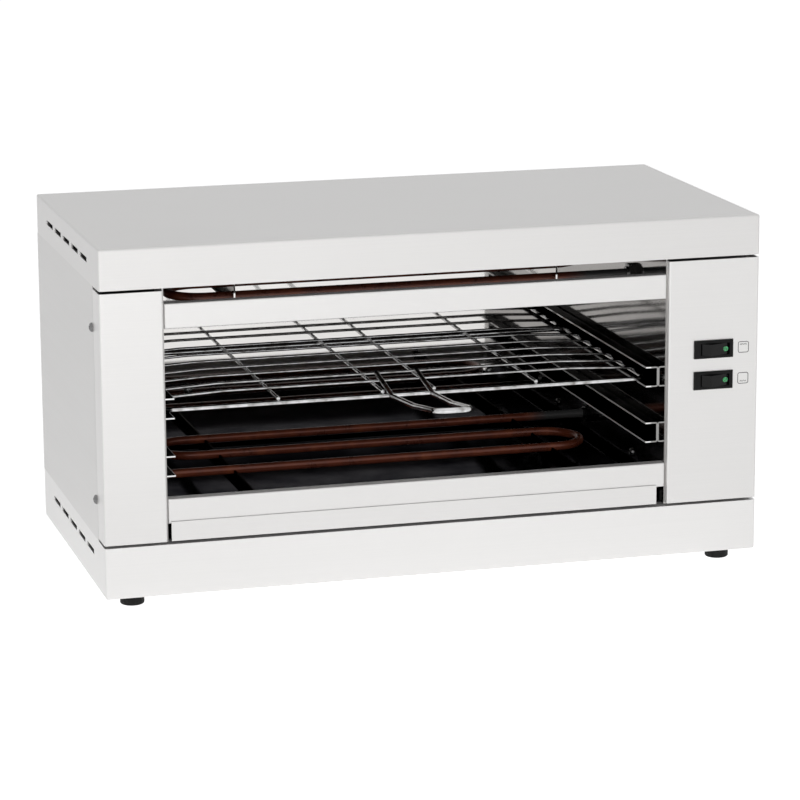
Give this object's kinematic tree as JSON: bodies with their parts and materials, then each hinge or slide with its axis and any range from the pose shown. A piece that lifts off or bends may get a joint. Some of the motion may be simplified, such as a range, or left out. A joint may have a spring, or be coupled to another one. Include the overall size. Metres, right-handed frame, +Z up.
{
  "type": "commercial toaster",
  "caption": "Open-fronted stainless grill toaster with heating elements above and below a sliding wire rack, a pull-out crumb tray and rocker switches.",
  "frame": {"origin": "bottom centre of the bounding box, on the plane that the feet stand on, with the rack handle and rear gland included", "axes": "+X to the right seen from the front, +Y to the back, +Z up; the open front faces -Y"},
  "size_m": [0.4944, 0.3581, 0.261],
  "materials": {
    "satin_stainless": "fine satin-brushed stainless sheet",
    "bright_stainless": "bright-annealed reflective stainless sheet",
    "mirror_stainless": "mirror-polished stainless sheet",
    "baked_stainless": "bright stainless sheet darkened by heat",
    "tray_stainless": "satin stainless lip on a pan darkened by heat",
    "chrome_wire": "bright plated wire",
    "heater_sheath": "heat-tinted tubular sheath",
    "dark_plastic": "black switch moulding",
    "rocker_plastic": "black glossy moulding",
    "green_lens": "translucent green indicator",
    "black_rubber": "moulded rubber",
    "screw_steel": "plated fastener",
    "brass": "plain brass",
    "black_nylon": "black nylon"
  },
  "bodies": {
    "cabinet": {"top_cover": "satin_stainless", "base_tray": "satin_stainless", "left_side_panel": "satin_stainless", "right_side_panel": "satin_stainless", "rear_panel": "satin_stainless", "left_front_pillar": "satin_stainless", "control_panel": "satin_stainless", "deck_plate": "baked_stainless", "chamber_left_wall": "bright_stainless", "chamber_right_wall": "bright_stainless", "chamber_back_wall": "mirror_stainless", "chamber_ceiling": "baked_stainless", "upper_guard_strip": "satin_stainless", "lower_guard_strip": "satin_stainless", "upper_left_rail": "bright_stainless", "upper_right_rail": "bright_stainless", "lower_left_rail": "bright_stainless", "lower_right_rail": "bright_stainless", "left_tray_guide": "baked_stainless", "right_tray_guide": "baked_stainless", "upper_heating_element": "heater_sheath", "lower_heating_element": "heater_sheath", "element_sleeves": "screw_steel", "element_sleeve_nuts": "screw_steel", "element_terminals": "screw_steel", "lower_element_comb_left": "baked_stainless", "lower_element_comb_right": "baked_stainless", "upper_element_comb_left": "baked_stainless", "upper_element_comb_right": "baked_stainless", "upper_switch_housing": "dark_plastic", "lower_switch_housing": "dark_plastic", "switch_blades": "brass", "front_left_foot": "black_rubber", "rear_left_foot": "black_rubber", "front_right_foot": "black_rubber", "rear_right_foot": "black_rubber", "foot_screws": "screw_steel", "foot_nuts": "screw_steel", "side_screws": "screw_steel", "rear_screws": "screw_steel", "chamber_screws": "screw_steel", "cable_gland": "black_nylon", "gland_lock_nut": "black_nylon"},
    "rack": {"rack_frame": "chrome_wire", "rack_cross_rods": "chrome_wire", "rack_depth_rods": "chrome_wire", "rack_handle": "chrome_wire"},
    "tray": {"crumb_tray": "tray_stainless"},
    "upper_switch_rocker": {"upper_rocker": "rocker_plastic", "upper_rocker_lens": "green_lens"},
    "lower_switch_rocker": {"lower_rocker": "rocker_plastic", "lower_rocker_lens": "green_lens"}
  },
  "joints": [
    {"name": "rack_slide", "type": "slide", "parent": "cabinet", "child": "rack", "axis": [0, -1, 0], "range_m": [0, 0.15]},
    {"name": "crumb_tray_slide", "type": "slide", "parent": "cabinet", "child": "tray", "axis": [0, -1, 0], "range_m": [0, 0.18]},
    {"name": "upper_rocker_tilt", "type": "hinge", "parent": "cabinet", "child": "upper_switch_rocker", "pos_m": [0.211, -0.08972, 0.163], "axis": [0, 0, -1], "range_deg": [0, 14]},
    {"name": "lower_rocker_tilt", "type": "hinge", "parent": "cabinet", "child": "lower_switch_rocker", "pos_m": [0.211, -0.08972, 0.1397], "axis": [0, 0, -1], "range_deg": [0, 14]}
  ]
}
